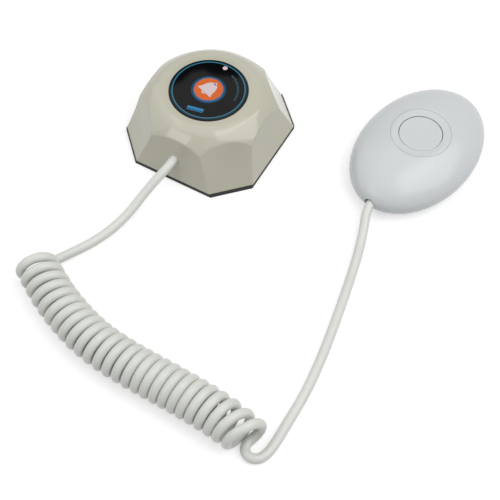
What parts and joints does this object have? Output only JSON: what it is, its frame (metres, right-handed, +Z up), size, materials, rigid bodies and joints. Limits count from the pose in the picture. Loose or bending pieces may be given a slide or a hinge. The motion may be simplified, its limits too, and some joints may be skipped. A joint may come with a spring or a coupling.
{
  "type": "nurse call button",
  "caption": "Faceted table call unit with a round black face and central call key, joined by a curly cord to an oval handheld push button.",
  "frame": {"origin": "middle of the table unit's underside, on its foam pad", "axes": "+Z up; +Y towards the top of the round face, away from the side where the cord leaves"},
  "size_m": [0.1481, 0.2023, 0.0279],
  "materials": {
    "base_pad": "matt foam",
    "top_shell": "glossy moulded plastic",
    "bottom_cover": "moulded plastic",
    "cover_screws": "zinc plated",
    "face_plate": "gloss black",
    "call_key": "gloss orange with a blue rim",
    "key_spring": "spring wire",
    "lamp_pipe": "clear light pipe",
    "status_lamp": "lamp chip",
    "circuit_board": "green board",
    "board_screws": "zinc plated",
    "call_switch": "black switch",
    "radio_chip": "black chip",
    "antenna_coil": "copper wire",
    "cord_header": "natural nylon",
    "cord_plug": "natural nylon",
    "lead_wires": "insulated wire",
    "battery": "plain steel can",
    "battery_cradle": "black plastic",
    "battery_contact_plus": "nickel plated",
    "battery_contact_minus": "nickel plated",
    "cord_clamp": "black plastic",
    "clamp_screws": "zinc plated",
    "handset_top_shell": "glossy moulded plastic",
    "handset_bottom_shell": "glossy moulded plastic",
    "handset_screws": "zinc plated",
    "handset_button": "glossy moulded plastic",
    "handset_spring": "spring wire",
    "handset_switch": "black switch",
    "handset_board": "green board",
    "handset_cord_clamp": "white plastic",
    "cord_base_tail": "satin soft plastic",
    "curly_cord": "satin soft plastic",
    "cord_handset_tail": "satin soft plastic"
  },
  "bodies": {
    "call_set": {"base_pad": "base_pad", "top_shell": "top_shell", "bottom_cover": "bottom_cover", "cover_screws": "cover_screws", "face_plate": "face_plate", "key_spring": "key_spring", "lamp_pipe": "lamp_pipe", "status_lamp": "status_lamp", "circuit_board": "circuit_board", "board_screws": "board_screws", "call_switch": "call_switch", "radio_chip": "radio_chip", "antenna_coil": "antenna_coil", "cord_header": "cord_header", "cord_plug": "cord_plug", "lead_wires": "lead_wires", "battery": "battery", "battery_cradle": "battery_cradle", "battery_contact_plus": "battery_contact_plus", "battery_contact_minus": "battery_contact_minus", "cord_clamp": "cord_clamp", "clamp_screws": "clamp_screws", "handset_top_shell": "handset_top_shell", "handset_bottom_shell": "handset_bottom_shell", "handset_screws": "handset_screws", "handset_spring": "handset_spring", "handset_switch": "handset_switch", "handset_board": "handset_board", "handset_cord_clamp": "handset_cord_clamp", "cord_base_tail": "cord_base_tail", "curly_cord": "curly_cord", "cord_handset_tail": "cord_handset_tail"},
    "call_key": {"call_key": "call_key"},
    "handset_button": {"handset_button": "handset_button"}
  },
  "joints": [
    {"name": "call_key_press", "type": "slide", "parent": "call_set", "child": "call_key", "axis": [0, 0, -1], "range_m": [0, 0.0006], "stiffness_N_per_m": 2500, "deforming": ["key_spring"]},
    {"name": "handset_button_press", "type": "slide", "parent": "call_set", "child": "handset_button", "axis": [0, 0, -1], "range_m": [0, 0.0012], "stiffness_N_per_m": 1500, "deforming": ["handset_spring"]}
  ]
}
